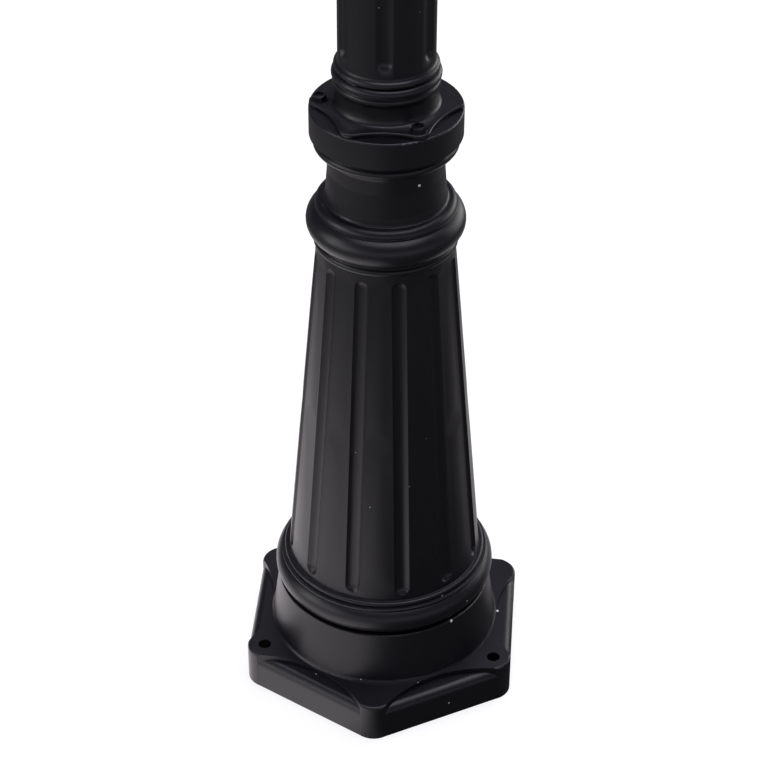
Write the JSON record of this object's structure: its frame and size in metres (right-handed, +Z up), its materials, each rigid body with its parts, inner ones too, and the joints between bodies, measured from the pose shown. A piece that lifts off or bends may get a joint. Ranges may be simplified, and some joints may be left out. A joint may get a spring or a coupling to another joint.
{
  "type": "triple head lamp post",
  "caption": "Cast garden lamp post with a hexagonal foot, fluted shaft and pole, and swan-neck arms that carry glazed hexagonal lanterns with hinged roofs.",
  "frame": {"origin": "on the post's axis at the underside of the foot", "axes": "+Z up along the post; +Y towards the rear lantern; the foot's corners lie at 30 degrees from +X and every 60 degrees after it"},
  "size_m": [0.668, 0.588, 2.1823],
  "materials": {
    "black_coat": "satin",
    "black_bolt": "satin",
    "zinc_steel": "satin",
    "bare_aluminium": "satin",
    "brass": "satin",
    "bulb_cap_metal": "satin",
    "bulb_glass": "gloss",
    "clear_glass": "gloss",
    "porcelain": "gloss",
    "terminal_plastic": "matte",
    "lead_sheath": "matte"
  },
  "bodies": {
    "post": {"foot_casting": "black_coat", "fluted_shaft": "black_coat", "lower_pole": "black_coat", "joint_collar": "black_coat", "upper_pole": "black_coat", "arm_hub": "black_coat", "hub_finial": "black_coat", "flange_bolts": "black_bolt", "arm_bolts": "black_bolt", "shaft_screws": "zinc_steel", "terminal_screws": "zinc_steel", "collar_screws": "zinc_steel", "hub_screws": "zinc_steel", "earth_screw": "brass", "terminal_bracket": "zinc_steel", "terminal_block": "terminal_plastic", "joint_sleeve": "bare_aluminium", "left_arm": "black_coat", "left_cup": "black_coat", "left_cage": "black_coat", "left_lead": "lead_sheath", "left_nipple": "zinc_steel", "left_panes": "clear_glass", "left_hinge_pin": "zinc_steel", "left_lampholder": "porcelain", "right_arm": "black_coat", "right_cup": "black_coat", "right_cage": "black_coat", "right_lead": "lead_sheath", "right_nipple": "zinc_steel", "right_panes": "clear_glass", "right_hinge_pin": "zinc_steel", "right_lampholder": "porcelain", "rear_arm": "black_coat", "rear_cup": "black_coat", "rear_cage": "black_coat", "rear_lead": "lead_sheath", "rear_nipple": "zinc_steel", "rear_panes": "clear_glass", "rear_hinge_pin": "zinc_steel", "rear_lampholder": "porcelain"},
    "roof_left": {"left_roof": "black_coat", "left_vent_cap": "black_coat", "left_finial": "black_coat"},
    "bulb_left": {"left_bulb_cap": "bulb_cap_metal", "left_bulb_glass": "bulb_glass"},
    "thumb_left": {"left_thumb_screw": "brass"},
    "roof_right": {"right_roof": "black_coat", "right_vent_cap": "black_coat", "right_finial": "black_coat"},
    "bulb_right": {"right_bulb_cap": "bulb_cap_metal", "right_bulb_glass": "bulb_glass"},
    "thumb_right": {"right_thumb_screw": "brass"},
    "roof_rear": {"rear_roof": "black_coat", "rear_vent_cap": "black_coat", "rear_finial": "black_coat"},
    "bulb_rear": {"rear_bulb_cap": "bulb_cap_metal", "rear_bulb_glass": "bulb_glass"},
    "thumb_rear": {"rear_thumb_screw": "brass"}
  },
  "joints": [
    {"name": "roof_hinge_left", "type": "hinge", "parent": "post", "child": "roof_left", "pos_m": [-0.30904, -0.17842, 2.0165], "axis": [0.5, -0.866, 0], "range_deg": [0, 100]},
    {"name": "bulb_turn_left", "type": "hinge", "parent": "post", "child": "bulb_left", "pos_m": [-0.21647, -0.12498, 1.83135], "axis": [0, 0, 1], "continuous": true},
    {"name": "thumb_turn_left", "type": "hinge", "parent": "roof_left", "child": "thumb_left", "pos_m": [-0.12147, -0.07013, 2.02135], "axis": [0, 0, 1], "continuous": true},
    {"name": "roof_hinge_right", "type": "hinge", "parent": "post", "child": "roof_right", "pos_m": [0.30904, -0.17842, 2.0165], "axis": [0.5, 0.866, 0], "range_deg": [0, 100]},
    {"name": "bulb_turn_right", "type": "hinge", "parent": "post", "child": "bulb_right", "pos_m": [0.21647, -0.12498, 1.83135], "axis": [0, 0, 1], "continuous": true},
    {"name": "thumb_turn_right", "type": "hinge", "parent": "roof_right", "child": "thumb_right", "pos_m": [0.12147, -0.07013, 2.02135], "axis": [0, 0, 1], "continuous": true},
    {"name": "roof_hinge_rear", "type": "hinge", "parent": "post", "child": "roof_rear", "pos_m": [0, 0.35685, 2.0165], "axis": [-1, 0, 0], "range_deg": [0, 100]},
    {"name": "bulb_turn_rear", "type": "hinge", "parent": "post", "child": "bulb_rear", "pos_m": [0, 0.24996, 1.83135], "axis": [0, 0, 1], "continuous": true},
    {"name": "thumb_turn_rear", "type": "hinge", "parent": "roof_rear", "child": "thumb_rear", "pos_m": [0, 0.14027, 2.02135], "axis": [0, 0, 1], "continuous": true}
  ]
}
